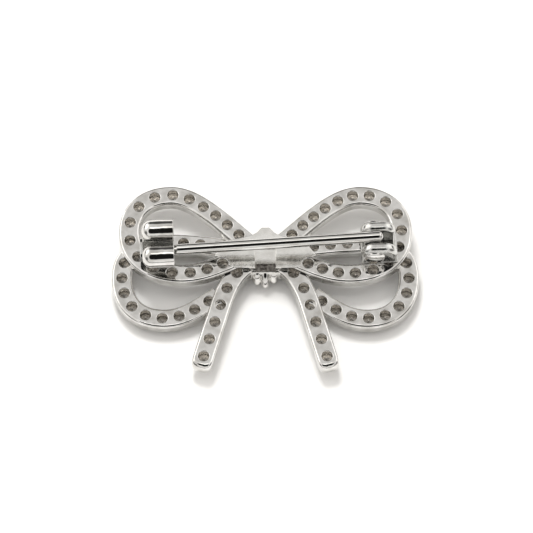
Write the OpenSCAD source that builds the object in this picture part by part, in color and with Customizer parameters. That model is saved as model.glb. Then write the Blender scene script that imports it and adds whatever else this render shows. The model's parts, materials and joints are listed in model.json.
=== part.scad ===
// Bow brooch with pavé ribbons, a hinged pin and a spring-jaw catch.
// It lies face down: the stones face the floor and the pin is on top.
// +X runs along the bow, +Y towards the tops of the loops, +Z out of the back.

/* [Bow] */
// Overall width of the bow across its lower loops
bow_w = 33.8; // [32:0.1:38]
// Width of every ribbon
ribbon_w = 2.3; // [2.1:0.05:2.5]
// Thickness of every ribbon
ribbon_t = 1.2; // [1.1:0.05:1.3]
// How far the knot stands proud of the lower loops
knot_proud = 0.6; // [0.4:0.1:0.8]

/* [Stones] */
// Diameter of the round stones
stone_d = 1.5; // [1.3:0.05:1.5]
// Diameter of the open hole behind each stone
azure_d = 1.2; // [1:0.05:1.2]
// Stones in the upper loop on the catch side
upper_left_count = 16; // [12:1:17]
// Stones in the upper loop on the hinge side
upper_right_count = 17; // [12:1:17]
// Stones in each lower loop
lower_count = 16; // [12:1:16]
// Stones in each tail
tail_count = 6; // [4:1:6]

/* [Pin] */
// Diameter of the pin wire
pin_d = 1.2; // [1.1:0.05:1.3]
// Diameter of the pin's point section, inside the catch
point_d = 0.6; // [0.5:0.05:0.64]
// Turn of the pin line across the bow, in degrees
pin_turn = 2.5; // [0:0.5:4]
// Height of the rivet's axis above the back of the bow
rivet_h = 1.4; // [1.4:0.05:1.5]

/* [Catch] */
// Length of the catch jaws
jaw_len = 3.7; // [3.4:0.1:4]
// Diameter of each jaw's rounded lip
jaw_d = 2.44; // [2.3:0.02:2.5]
// Gap between the two lips
jaw_gap = 0.76; // [0.74:0.01:0.9]

/* [Hidden] */

// The ribbons' centre lines are given at this width, and scaled to bow_w
drawn_w = 33.8;
u = bow_w / drawn_w;
// Straight steps in each curve of a centre line
steps = 9;
// How far a cutting shape runs past what it cuts
past = 1;

// Heights of the layers, from the floor up
low_z = knot_proud;
tail_z = low_z + ribbon_t / 2;
up_z = low_z + ribbon_t;
back_z = up_z + ribbon_t;
plate_t = ribbon_t / 2;
plate_z = back_z - plate_t;

// Stone proportions
crown_h = 0.2;
girdle_h = 0.1;
pavilion_h = 0.42 * stone_d;
seat_h = crown_h + girdle_h + 0.15;
seat_play = 0.03;
// Stones of an upper loop sit wider apart round its outside
swell = 0.13;
swell_at = 0.6;

// Pin line and its fittings
pin_y = 2.9 * u;
rivet_x = 11.9 * u;
jaw_mid_x = -11.9 * u;
rivet_z = back_z + rivet_h;
rivet_d = 0.9;
rivet_play = 0.05;
stem_rise = 1.2;
stem_drop = 1.3;
stem_tilt = asin(stem_drop / (rivet_x - jaw_mid_x));
stem_tail = 0.6;
heel_len = 1.7;
heel_step = 0.02;
lug_w = pin_d + 0.04;
lug_d = 2.2;
cheek_gap = lug_w + 0.12;
cheek_t = 1.25;
cheek_d = 2.9;
wall_x = rivet_x + 2.05;
wall_t = 0.6;
channel_w = 1.5;
channel_t = 0.35;
lip_y = (jaw_gap + jaw_d) / 2;
lip_in = 0.25;
lip_out = 0.05;
lip_z = back_z + 2.9;
channel_h = lip_z - back_z - jaw_d / 3;
yoke_w = cheek_gap + 2 * cheek_t;
rivet_head_d = 2.3;
rivet_head_h = 0.45;

// The knot: its solid middle and the pleats over its face
core_w = 3.5 * u;
core_low = 0.55 * u;
core_high = 4.9 * u;
pleat_r = 0.85;
pleat_len = 5.9 * u;
pleat_fan = 7;
pleat_gap = 0.75 * u;
pleat_top = 6.2 * u;
pleat_lift = 0.2 * u;

// Slot up the middle of the back plate
slot_w = 2.2 * u;
slot_top = 3.9 * u;

// ---------- Curves ----------

function bezier(c, t) =
    c[0] * pow(1 - t, 3) + 3 * c[1] * t * pow(1 - t, 2)
    + 3 * c[2] * t * t * (1 - t) + c[3] * pow(t, 3);

function slope(c, t) =
    3 * (c[1] - c[0]) * pow(1 - t, 2) + 6 * (c[2] - c[1]) * t * (1 - t)
    + 3 * (c[3] - c[2]) * t * t;

// Centre line of a list of curves, as [point, unit tangent]
function line(curves) = [
    for (i = [0 : len(curves) - 1])
        for (k = [(i == 0 ? 0 : 1) : steps])
            let (t = k / steps, s = slope(curves[i], t))
                [bezier(curves[i], t), s / norm(s)]
];

// Points beside a centre line, at distance d to its left
function beside(path, d) = [for (p = path) p[0] + d * [-p[1].y, p[1].x]];

function reversed(list) = [for (i = [len(list) - 1 : -1 : 0]) list[i]];

// Distance along the line at each of its points
function run(path) = [
    for (i = 0, s = 0; i < len(path);
        i = i + 1, s = i < len(path) ? s + norm(path[i][0] - path[i - 1][0]) : s)
        s
];

// Point at distance s along the line
function at(path, s) =
    let (r = run(path))
        [
            lookup(s, [for (i = [0 : len(path) - 1]) [r[i], path[i][0].x]]),
            lookup(s, [for (i = [0 : len(path) - 1]) [r[i], path[i][0].y]])
        ];

// Share of the way along, with the spacing widest at swell_at
function eased(t, amount) =
    t + amount / (2 * PI) * (sin(360 * (t - swell_at)) + sin(360 * swell_at));

// Stone centres, from first to the end less last
function stone_centres(path, count, first, last, amount = 0) =
    let (r = run(path), span = r[len(r) - 1] - first - last)
        [for (i = [0 : count - 1]) at(path, first + span * eased(i / (count - 1), amount))];

// ---------- Centre lines of the right-hand ribbons ----------

up_top = [10.4, 10.1] * u;
up_out = [15.0, 5.6] * u;
up_low = [9.2, 0.35] * u;
up_rise = [
    [[1.6, 3.9] * u, [4.5, 6.5] * u, [7.6 * u, up_top.y], up_top],
    [up_top, [13.2 * u, up_top.y], [up_out.x, 8.3 * u], up_out]
];
up_fall = [
    [up_out, [up_out.x, 2.5 * u], [12.9 * u, up_low.y], up_low],
    [up_low, [6.9 * u, up_low.y], [5.2, 1.35] * u, [2.6, 2.5] * u]
];

low_top = [10.8, 4.75] * u;
low_out = [15.75, 0.6] * u;
low_low = [11.1, -4.6] * u;
low_rise = [
    [[1.6, 3.55] * u, [3.6, 4.1] * u, [7.6 * u, low_top.y], low_top],
    [low_top, [14.3 * u, low_top.y], [low_out.x, 3.1 * u], low_out]
];
low_fall = [
    [low_out, [low_out.x, -2.5 * u], [14.2 * u, low_low.y], low_low],
    [low_low, [8.61 * u, low_low.y], [6.78, -2.9] * u, [3.9, -0.77] * u]
];

tail_bend = [4.9, -3.2] * u;
tail_end = [7.1, -10.94] * u;
tail_path = [
    [[1.2, 2.1] * u, [3.5, 1.3] * u, [4.45, -1.6] * u, tail_bend],
    [
        tail_bend,
        tail_bend + (tail_end - tail_bend) / 3,
        tail_bend + (tail_end - tail_bend) * 2 / 3,
        tail_end
    ]
];

// ---------- Shared shapes ----------

// Puts what follows on the left-hand side of the bow when side is -1
module on_side(side) {
    mirror([side < 0 ? 1 : 0, 0, 0])
        children();
}

// A flat ribbon along a list of curves
module ribbon(curves, z, h, w = ribbon_w) {
    path = line(curves);
    translate([0, 0, z])
        linear_extrude(h)
            polygon(concat(beside(path, w / 2), reversed(beside(path, -w / 2))));
}

// Stone seats drilled from the front, with an open hole at the back
module seats(centres, z) {
    for (c = centres) {
        translate([c.x, c.y, z - past])
            cylinder(h = ribbon_t + 2 * past, d = azure_d, $fn = 32);
        translate([c.x, c.y, z - past])
            cylinder(h = seat_h + past, d = stone_d + 2 * seat_play, $fn = 32);
    }
}

// Round stones, table towards the floor, point towards the back
module stones(centres, z) {
    r = stone_d / 2;
    profile = [
        [0, 0],
        [r * 0.57, 0],
        [r, crown_h],
        [r, crown_h + girdle_h],
        [azure_d / 2 - 0.02, crown_h + girdle_h + 0.15],
        [0, crown_h + girdle_h + pavilion_h]
    ];
    for (c = centres)
        translate([c.x, c.y, z])
            rotate_extrude($fn = 24)
                polygon(profile);
}

// Outline of the plate that joins the loops, with a tab at its top
module plate_outline() {
    arms = [[3.3, 1.0], [4.0, 1.3], [4.1, 2.1], [5.6, 2.5], [4.3, 4.4], [2.0, 4.93]];
    tab = [[1.35, 5.05], [0.9, 5.45], [0.42, 6.0]];
    half = concat(arms, tab) * u;
    other = [for (p = reversed(half)) [-p.x, p.y]];
    polygon(concat(half, other));
}

// Solid middle of the knot, which every ribbon butts against
module knot_core(z0, z1) {
    translate([-core_w / 2, core_low, z0])
        cube([core_w, core_high - core_low, z1 - z0]);
}

// Three pleats that draw together towards the top of the knot
module pleats(grow = 0) {
    r = pleat_r + grow;
    for (fan = [-1, 0, 1])
        translate([fan * pleat_gap, pleat_top + (fan == 0 ? pleat_lift : 0), pleat_r])
            rotate([90, 0, fan * pleat_fan]) {
                sphere(r, $fn = 32);
                cylinder(h = pleat_len, r = r, $fn = 32);
                translate([0, 0, pleat_len])
                    sphere(r, $fn = 32);
            }
}

// Room for the knot in the middle of a ribbon
module knot_room() {
    knot_core(0, back_z + past);
    pleats(seat_play);
}

// Moves to the pin line: x along the pin, y along the rivet
module on_pin_line() {
    translate([0, pin_y, 0])
        rotate([0, 0, pin_turn])
            children();
}

up_line = line(concat(up_rise, up_fall));
up_left_centres = stone_centres(up_line, upper_left_count, 1.8 * u, 2.3 * u, swell);
up_right_centres = stone_centres(up_line, upper_right_count, 1.8 * u, 2.3 * u, swell);
low_centres = stone_centres(line(concat(low_rise, low_fall)), lower_count, 1.9 * u, 2.86 * u);
tail_centres = stone_centres(line(tail_path), tail_count, 2.4 * u, 1.45 * u);

function up_centres(side) = side < 0 ? up_left_centres : up_right_centres;

// ---------- Parts of the bow ----------

module upper_loop(side) {
    color("silver")
        on_side(side)
            difference() {
                union() {
                    ribbon(up_rise, up_z, ribbon_t);
                    ribbon(up_fall, up_z, ribbon_t);
                }
                seats(up_centres(side), up_z);
                knot_room();
                translate([0, 0, plate_z])
                    linear_extrude(plate_t + past)
                        plate_outline();
                ribbon(tail_path, tail_z - past, ribbon_t + past);
            }
}

module lower_loop(side) {
    color("silver")
        on_side(side)
            difference() {
                union() {
                    ribbon(low_rise, low_z, ribbon_t);
                    ribbon(low_fall, low_z, ribbon_t);
                }
                seats(low_centres, low_z);
                knot_room();
                ribbon(tail_path, tail_z, ribbon_t);
            }
}

module tail(side) {
    color("silver")
        on_side(side)
            difference() {
                ribbon(tail_path, tail_z, ribbon_t);
                seats(tail_centres, tail_z);
                knot_room();
            }
}

// The plate, slotted from below so that the knot's back shows
module back_plate() {
    color("silver")
        difference() {
            translate([0, 0, plate_z])
                linear_extrude(plate_t)
                    plate_outline();
            translate([-slot_w / 2, 0, plate_z - past])
                cube([slot_w, slot_top, plate_t + 2 * past]);
            for (side = [-1, 1])
                on_side(side)
                    seats([up_centres(side)[0]], up_z);
        }
}

// Knot that every ribbon runs into, pleated on the face side
module knot() {
    color("silver") {
        knot_core(pleat_r, plate_z);
        pleats();
    }
}

// The stones of one ribbon
module ring_stones(side, centres, z) {
    color("whitesmoke", 0.6)
        on_side(side)
            stones(centres, z);
}

// ---------- Catch ----------

// Channel that the pin drops into, closed at its outer end
module catch_base() {
    color("silver")
        on_pin_line()
            translate([jaw_mid_x - jaw_len / 2, -channel_w / 2 - channel_t, back_z])
                difference() {
                    cube([jaw_len, channel_w + 2 * channel_t, channel_h]);
                    translate([channel_t, channel_t, channel_t])
                        cube([jaw_len, channel_w, channel_h]);
                }
}

// One lip of the catch: a bar with a rounded outer end
module catch_jaw(side) {
    r = jaw_d / 2;
    corner = 0.6;
    length = jaw_len - lip_in + lip_out;
    turns = [for (a = [0 : 15 : 90]) [r - corner * (1 - sin(a)), corner * (1 - cos(a))]];
    color("silver")
        on_pin_line()
            difference() {
                translate([jaw_mid_x - jaw_len / 2 + lip_in, side * lip_y, lip_z])
                    rotate([0, 90, 0])
                        rotate_extrude($fn = 48)
                            polygon(concat([[0, 0]], turns, [[r, length], [0, length]]));
                catch_wall(side);
            }
}

// The channel wall that a lip is seated on
module catch_wall(side) {
    wall_y = channel_w / 2 + channel_t;
    translate([jaw_mid_x - jaw_len / 2, side > 0 ? 0 : -wall_y, back_z])
        cube([jaw_len, wall_y, channel_h]);
}

// ---------- Hinge ----------

module hinge_yoke() {
    color("silver")
        on_pin_line()
            difference() {
                union() {
                    rivet_line(yoke_w, cheek_d);
                    translate([rivet_x, -yoke_w / 2, back_z])
                        cube([wall_x - rivet_x + wall_t, yoke_w, rivet_h + cheek_d / 4]);
                }
                translate([rivet_x - cheek_d, -cheek_gap / 2, 0])
                    cube([cheek_d + wall_x - rivet_x, cheek_gap, back_z + cheek_d * 2]);
                translate([rivet_x - cheek_d, -yoke_w, 0])
                    cube([cheek_d * 3, yoke_w * 2, back_z]);
                rivet_line(yoke_w + past, rivet_d);
            }
}

// A round bar along the rivet's axis
module rivet_line(len, d) {
    translate([rivet_x, len / 2, rivet_z])
        rotate([90, 0, 0])
            cylinder(h = len, d = d, $fn = 64);
}

module hinge_rivet() {
    color("gainsboro")
        on_pin_line() {
            rivet_line(yoke_w, rivet_d);
            for (side = [-1, 1])
                translate([rivet_x, side * yoke_w / 2, rivet_z])
                    rotate([-90 * side, 0, 0])
                        rivet_head();
        }
}

// A low domed head
module rivet_head() {
    r = rivet_head_d / 2;
    dome_r = (r * r + rivet_head_h * rivet_head_h) / (2 * rivet_head_h);
    intersection() {
        translate([0, 0, rivet_head_h - dome_r])
            sphere(dome_r, $fn = 64);
        cylinder(h = rivet_head_h, r = r, $fn = 64);
    }
}

// ---------- Pin ----------

// The stem in its own line: x = 0 at the rivet, the point towards -x
module stem_shape() {
    reach = rivet_x - jaw_mid_x;
    taper_end = reach - jaw_len / 2 - 0.1;
    taper_start = taper_end - 0.7;
    point_end = reach + jaw_len / 2 - 1.1;
    tip_len = 0.9;
    tip_d = 0.1;
    translate([stem_tail, 0, stem_rise])
        rotate([0, -90, 0]) {
            sphere(d = lug_w, $fn = 48);
            cylinder(h = stem_tail + heel_len, d1 = lug_w, d2 = pin_d + heel_step, $fn = 48);
            cylinder(h = stem_tail + taper_start, d = pin_d, $fn = 48);
            translate([0, 0, stem_tail + taper_start])
                cylinder(h = taper_end - taper_start, d1 = pin_d, d2 = point_d, $fn = 48);
            translate([0, 0, stem_tail + taper_end])
                cylinder(h = point_end - taper_end - tip_len, d = point_d, $fn = 48);
            translate([0, 0, stem_tail + point_end - tip_len])
                cylinder(h = tip_len, d1 = point_d, d2 = tip_d, $fn = 48);
        }
}

module pin_stem() {
    color("silver")
        on_pin_line()
            difference() {
                translate([rivet_x, 0, rivet_z])
                    rotate([0, -stem_tilt, 0])
                        union() {
                            stem_shape();
                            translate([0, lug_w / 2, 0])
                                rotate([90, 0, 0])
                                    cylinder(h = lug_w, d = lug_d, $fn = 64);
                            translate([-lug_d / 2, -lug_w / 2, 0])
                                cube([lug_d / 2 + stem_tail, lug_w, stem_rise]);
                        }
                rivet_line(yoke_w, rivet_d + 2 * rivet_play);
            }
}

back_plate();
knot();
upper_loop(-1);  // upper_loop_left
upper_loop(1);  // upper_loop_right
lower_loop(-1);  // lower_loop_left
lower_loop(1);  // lower_loop_right
tail(-1);  // tail_left
tail(1);  // tail_right
ring_stones(-1, up_centres(-1), up_z);  // stones_upper_left
ring_stones(1, up_centres(1), up_z);  // stones_upper_right
ring_stones(-1, low_centres, low_z);  // stones_lower_left
ring_stones(1, low_centres, low_z);  // stones_lower_right
ring_stones(-1, tail_centres, tail_z);  // stones_tail_left
ring_stones(1, tail_centres, tail_z);  // stones_tail_right
catch_base();
catch_jaw(-1);  // catch_jaw_near
catch_jaw(1);  // catch_jaw_far
hinge_yoke();
hinge_rivet();
pin_stem();
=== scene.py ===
"""Looks of a silver bow brooch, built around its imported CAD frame.

The brooch lies face down: the stones face the floor, and the pin, its hinge and its catch
are on top. Lengths in the classes are millimetres; meshes are made in metres.
"""

from __future__ import annotations

import json
import logging
import math
from dataclasses import dataclass
from enum import Enum
from typing import Iterable, Sequence

import bmesh
import bpy
from mathutils import Matrix, Vector


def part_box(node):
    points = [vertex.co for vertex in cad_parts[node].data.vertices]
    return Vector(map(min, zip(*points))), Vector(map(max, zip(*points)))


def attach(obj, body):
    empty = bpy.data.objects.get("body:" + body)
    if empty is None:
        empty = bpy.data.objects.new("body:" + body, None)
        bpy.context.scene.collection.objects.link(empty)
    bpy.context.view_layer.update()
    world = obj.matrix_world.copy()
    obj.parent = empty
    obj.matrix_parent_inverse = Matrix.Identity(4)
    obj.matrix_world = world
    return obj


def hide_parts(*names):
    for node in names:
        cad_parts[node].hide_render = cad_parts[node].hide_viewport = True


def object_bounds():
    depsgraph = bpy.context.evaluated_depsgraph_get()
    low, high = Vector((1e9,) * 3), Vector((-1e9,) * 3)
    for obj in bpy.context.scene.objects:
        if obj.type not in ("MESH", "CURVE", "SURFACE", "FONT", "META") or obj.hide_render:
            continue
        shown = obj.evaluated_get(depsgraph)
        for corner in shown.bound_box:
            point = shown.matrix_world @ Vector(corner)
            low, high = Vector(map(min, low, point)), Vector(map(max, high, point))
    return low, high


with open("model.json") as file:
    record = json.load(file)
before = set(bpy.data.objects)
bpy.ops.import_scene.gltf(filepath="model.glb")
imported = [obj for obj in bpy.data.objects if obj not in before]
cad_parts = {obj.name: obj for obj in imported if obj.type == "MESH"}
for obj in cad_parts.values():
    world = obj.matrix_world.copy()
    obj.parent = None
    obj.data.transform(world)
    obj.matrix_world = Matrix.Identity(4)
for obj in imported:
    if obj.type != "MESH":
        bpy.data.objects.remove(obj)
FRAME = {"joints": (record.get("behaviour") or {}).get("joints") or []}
CAD_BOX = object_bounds()

MM = 0.001
DRAWN_WIDTH = 33.8
BODY_BROOCH = "brooch"
BODY_PIN = "pin"
SMOOTH_ANGLE = math.radians(38)

LOG = logging.getLogger("brooch")

Point2 = tuple[float, float]
Point3 = tuple[float, float, float]


class Side(Enum):
    """The two halves of the bow, as the sign of X."""

    LEFT = -1
    RIGHT = 1


class Slot(Enum):
    """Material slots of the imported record."""

    RIBBONS = "ribbons"
    FINDINGS = "findings"
    PIN = "pin"
    STONES = "stones"


class Zone(Enum):
    """The zones of a ribbon, each with its own metal, as numbers of its materials."""

    FACE = 0
    HOLE = 1
    SIDE = 2


# ---------------------------------------------------------------- small helpers


def srgb(code: str) -> tuple[float, float, float, float]:
    """Turn a hex colour into a linear one.

    Args:
        code: An sRGB colour such as "#d8d8d6".

    Returns:
        Linear red, green, blue and an alpha of 1.
    """
    parts = [int(code[i : i + 2], 16) / 255 for i in (1, 3, 5)]
    linear = [c / 12.92 if c <= 0.04045 else ((c + 0.055) / 1.055) ** 2.4 for c in parts]
    return (linear[0], linear[1], linear[2], 1.0)


def add_node(
    tree: bpy.types.NodeTree, kind: str, links: dict | None = None, **settings: object
) -> bpy.types.Node:
    """Add a node, set it up and link its inputs.

    Args:
        tree: The node tree that it goes in.
        kind: The node's type name.
        links: Input name or number to a socket to link from, or to a plain value.
        settings: Attributes of the node itself.

    Returns:
        The new node.
    """
    node = tree.nodes.new(kind)
    for name, value in settings.items():
        setattr(node, name, value)
    for name, value in (links or {}).items():
        socket = node.inputs[name]
        if isinstance(value, bpy.types.NodeSocket):
            tree.links.new(value, socket)
        else:
            socket.default_value = value
    return node


def mesh_piece(name: str, draft: bmesh.types.BMesh, smooth: bool = True) -> bpy.types.Object:
    """Turn a draft in millimetres into an object in metres.

    Args:
        name: The piece's name.
        draft: The draft; it is freed.
        smooth: Whether faces that meet at a small angle are shaded smooth.

    Returns:
        The new object, linked to the scene.
    """
    bmesh.ops.remove_doubles(draft, verts=draft.verts, dist=1e-4)
    bmesh.ops.recalc_face_normals(draft, faces=draft.faces)
    mesh = bpy.data.meshes.new(name)
    draft.to_mesh(mesh)
    draft.free()
    piece = bpy.data.objects.new(name, mesh)
    bpy.context.scene.collection.objects.link(piece)
    if smooth:
        mesh.shade_smooth()
        mesh.set_sharp_from_angle(angle=SMOOTH_ANGLE)
        # Flat faces stay flat to the eye beside a rounded edge.
        even = piece.modifiers.new("even_faces", "WEIGHTED_NORMAL")
        even.mode = "FACE_AREA"
        even.weight = 100
        even.keep_sharp = True
        bake_modifiers(piece)
    piece.data.transform(Matrix.Scale(MM, 4))
    return piece


def bake_modifiers(piece: bpy.types.Object) -> None:
    """Replace a piece's mesh by what its modifiers make of it, and remove them."""
    graph = bpy.context.evaluated_depsgraph_get()
    mesh = bpy.data.meshes.new_from_object(piece.evaluated_get(graph), depsgraph=graph)
    mesh.name = piece.name
    piece.modifiers.clear()
    piece.data = mesh


def grid_faces(
    draft: bmesh.types.BMesh,
    rows: Sequence[Sequence[Point3]],
    closed: bool,
    zone: Zone = Zone.FACE,
) -> None:
    """Join rows of points with quads.

    Args:
        draft: The mesh to add to.
        rows: Rows with the same number of points.
        closed: Whether each row's last point joins its first.
        zone: The zone that these faces belong to.
    """
    made = [[draft.verts.new(p) for p in row] for row in rows]
    count = len(rows[0])
    last = count if closed else count - 1
    for upper, lower in zip(made, made[1:]):
        for i in range(last):
            j = (i + 1) % count
            draft.faces.new((upper[i], upper[j], lower[j], lower[i])).material_index = zone.value


def cap(draft: bmesh.types.BMesh, ring: Sequence[Point3]) -> None:
    """Close an opening with one flat face."""
    draft.faces.new([draft.verts.new(p) for p in ring])


def turned(profile: Sequence[Point2], segments: int = 48) -> bmesh.types.BMesh:
    """Turn a profile of (radius, height) about Z.

    Args:
        profile: Points from one end of the solid to the other.
        segments: Flats around the axis.

    Returns:
        A closed draft.
    """
    draft = bmesh.new()
    turns = [math.tau * i / segments for i in range(segments)]
    rows = [[(r * math.cos(a), r * math.sin(a), z) for a in turns] for r, z in profile]
    grid_faces(draft, rows, closed=True)
    for row in (rows[0], rows[-1]):
        if abs(row[0][0]) > 1e-6:
            cap(draft, row)
    bmesh.ops.dissolve_degenerate(draft, dist=1e-6, edges=draft.edges)
    return draft


def arc(centre: Point2, radius: float, start: float, end: float, steps: int) -> list[Point2]:
    """Points along an arc, from one angle in degrees to another."""
    angles = [math.radians(start + (end - start) * i / steps) for i in range(steps + 1)]
    return [(centre[0] + radius * math.cos(a), centre[1] + radius * math.sin(a)) for a in angles]


def slab(outline: Sequence[Point2], low: float, high: float, edge: float) -> bmesh.types.BMesh:
    """A flat plate with rounded edges on both faces.

    Args:
        outline: Corners in the XY plane.
        low: Height of the lower face.
        high: Height of the upper face.
        edge: Radius of the rounded edges.

    Returns:
        A closed draft.
    """
    draft = bmesh.new()
    face = draft.faces.new([draft.verts.new((x, y, low)) for x, y in outline])
    made = bmesh.ops.extrude_face_region(draft, geom=[face])
    tops = [v for v in made["geom"] if isinstance(v, bmesh.types.BMVert)]
    bmesh.ops.translate(draft, vec=(0, 0, high - low), verts=tops)
    bmesh.ops.recalc_face_normals(draft, faces=draft.faces)
    if edge > 0:
        rims = [e for e in draft.edges if abs(e.verts[0].co.z - e.verts[1].co.z) < 1e-6]
        bmesh.ops.bevel(draft, geom=rims, offset=edge, segments=4, profile=0.5, affect="EDGES")
    return draft


def oblong(left: float, low: float, right: float, high: float) -> list[Point2]:
    """The four corners of a rectangle."""
    return [(left, low), (right, low), (right, high), (left, high)]


def wear(piece: bpy.types.Object, *materials: bpy.types.Material) -> None:
    """Give a piece its materials, the first one on every face."""
    piece.data.materials.clear()
    for material in materials:
        piece.data.materials.append(material)


# ---------------------------------------------------------------- the frame's measures


@dataclass(frozen=True)
class Layout:
    """Where the CAD frame puts each layer and fitting, in millimetres.

    The pin frame sits at the rivet: x along the pin away from the catch, y along the rivet.
    """

    scale: float
    low_z: float
    tail_z: float
    up_z: float
    plate_z: float
    back_z: float
    ribbon_t: float
    rivet: Vector
    pin_frame: Matrix

    @classmethod
    def from_frame(cls) -> "Layout":
        """Read the layers from the CAD nodes' boxes and the hinge from its joint."""
        joint = FRAME["joints"][0]
        axis = Vector(joint["axis"]).normalized()
        rivet = Vector(joint["pos_m"]) / MM
        turn = Matrix.Rotation(math.atan2(-axis.x, axis.y), 4, "Z")
        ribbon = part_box("lower_loop_left")
        return cls(
            scale=(CAD_BOX[1].x - CAD_BOX[0].x) / MM / DRAWN_WIDTH,
            low_z=ribbon[0].z / MM,
            tail_z=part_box("tail_left")[0].z / MM,
            up_z=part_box("upper_loop_left")[0].z / MM,
            plate_z=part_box("back_plate")[0].z / MM,
            back_z=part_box("back_plate")[1].z / MM,
            ribbon_t=(ribbon[1].z - ribbon[0].z) / MM,
            rivet=rivet,
            pin_frame=Matrix.Translation(rivet) @ turn,
        )


class Fitting:
    """A sub-assembly of named pieces that ride one body."""

    BODY = BODY_BROOCH
    SLOT = Slot.FINDINGS

    def __init__(self, layout: Layout) -> None:
        """Prepare the sub-assembly for a layout."""
        self.layout = layout
        self.pieces: dict[str, bpy.types.Object] = {}

    def add(
        self, name: str, draft: bmesh.types.BMesh, node: str | None, place: Matrix | None = None
    ) -> None:
        """Finish a draft as one of the pieces.

        Args:
            name: The piece's name.
            draft: Its draft; it is freed.
            node: The CAD node that it stands for, or None where the CAD has none.
            place: Where it goes, if it is drawn about the origin.
        """
        if place is not None:
            draft.transform(place)
        self.keep(mesh_piece(name, draft), node)

    def keep(self, piece: bpy.types.Object, node: str | None, slot: Slot | None = None) -> None:
        """Take in a finished piece and hang it on its body.

        Args:
            piece: The piece.
            node: The CAD node that it stands for, or None where the CAD has none.
            slot: Its material slot, if it isn't the sub-assembly's own; it is not used.
        """
        self.pieces[piece.name] = piece
        if node is not None:
            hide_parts(node)
        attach(piece, self.BODY)
        LOG.info("%s built", piece.name)


# ---------------------------------------------------------------- ribbon centre lines


class CentreLine:
    """A smooth line through cubic curves, measured along its length."""

    FINE = 160
    REACH = 0.08
    SWELL_AT = 0.6

    def __init__(self, curves: Sequence[Sequence[Point2]], side: Side, scale: float) -> None:
        """Sample the curves finely.

        Args:
            curves: Four control points for each curve, for the right-hand half.
            side: The half of the bow that the line is for.
            scale: Size of this bow against the drawn one.
        """
        self.points: list[Vector] = []
        for number, curve in enumerate(curves):
            corners = [Vector((x * side.value * scale, y * scale)) for x, y in curve]
            for k in range(0 if number == 0 else 1, self.FINE + 1):
                self.points.append(self._cubic(corners, k / self.FINE))
        self.run = [0.0]
        for before, after in zip(self.points, self.points[1:]):
            self.run.append(self.run[-1] + (after - before).length)
        self.length = self.run[-1]

    @staticmethod
    def _cubic(c: Sequence[Vector], t: float) -> Vector:
        """A point on a cubic curve."""
        s = 1 - t
        return c[0] * s**3 + c[1] * (3 * t * s * s) + c[2] * (3 * t * t * s) + c[3] * t**3

    def at(self, distance: float) -> Vector:
        """The point at a distance along the line."""
        distance = min(max(distance, 0.0), self.length)
        low, high = 0, len(self.run) - 1
        while high - low > 1:
            middle = (low + high) // 2
            if self.run[middle] <= distance:
                low = middle
            else:
                high = middle
        share = (distance - self.run[low]) / max(self.run[high] - self.run[low], 1e-9)
        return self.points[low].lerp(self.points[high], share)

    def heading(self, distance: float) -> Vector:
        """The unit tangent at a distance along the line."""
        return (self.at(distance + self.REACH) - self.at(distance - self.REACH)).normalized()

    def left(self, distance: float) -> Vector:
        """The unit direction to the left of the line."""
        ahead = self.heading(distance)
        return Vector((-ahead.y, ahead.x))

    def beside(self, distance: float, offset: float) -> Vector:
        """A point off to the left of the line."""
        return self.at(distance) + self.left(distance) * offset

    def spaced(self, count: int, first: float, last: float, swell: float) -> list[float]:
        """Distances from first to the end less last.

        Args:
            count: How many.
            first: The first one's distance.
            last: The last one's distance from the end.
            swell: How much wider they sit apart round the outside of a loop.

        Returns:
            The distances, widest apart at SWELL_AT of the way.
        """
        span = self.length - first - last
        lead = math.tau * self.SWELL_AT
        found = []
        for i in range(count):
            t = i / (count - 1)
            wave = math.sin(math.tau * (t - self.SWELL_AT)) + math.sin(lead)
            found.append(first + span * (t + swell / math.tau * wave))
        return found


UPPER_CURVES = (
    ((1.6, 3.9), (4.5, 6.5), (7.6, 10.1), (10.4, 10.1)),
    ((10.4, 10.1), (13.2, 10.1), (15.0, 8.3), (15.0, 5.6)),
    ((15.0, 5.6), (15.0, 2.5), (12.9, 0.35), (9.2, 0.35)),
    ((9.2, 0.35), (6.9, 0.35), (5.2, 1.35), (2.6, 2.5)),
)
LOWER_CURVES = (
    ((1.6, 3.55), (3.6, 4.1), (7.6, 4.75), (10.8, 4.75)),
    ((10.8, 4.75), (14.3, 4.75), (15.75, 3.1), (15.75, 0.6)),
    ((15.75, 0.6), (15.75, -2.5), (14.2, -4.6), (11.1, -4.6)),
    ((11.1, -4.6), (8.61, -4.6), (6.78, -2.9), (3.9, -0.77)),
)
TAIL_CURVES = (
    ((1.2, 2.1), (3.5, 1.3), (4.45, -1.6), (4.9, -3.2)),
    ((4.9, -3.2), (5.63, -5.78), (6.37, -8.36), (7.1, -10.94)),
)


# ---------------------------------------------------------------- finishes


def blank_material(name: str) -> tuple[bpy.types.Material, bpy.types.NodeTree]:
    """A new material with an empty tree."""
    material = bpy.data.materials.new(name)
    material.use_nodes = True
    material.node_tree.nodes.clear()
    return material, material.node_tree


def noise(
    tree: bpy.types.NodeTree, place: bpy.types.NodeSocket, size_mm: float, detail: float
) -> bpy.types.NodeSocket:
    """A noise whose waves have a real size."""
    links = {"Vector": place, "Scale": 1 / (size_mm * MM), "Detail": detail}
    return add_node(tree, "ShaderNodeTexNoise", links).outputs["Fac"]


def surface(tree: bpy.types.NodeTree, inputs: dict[str, object]) -> None:
    """End a material's tree in one shader with these inputs."""
    shader = add_node(tree, "ShaderNodeBsdfPrincipled", inputs)
    add_node(tree, "ShaderNodeOutputMaterial", {"Surface": shader.outputs[0]})


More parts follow.
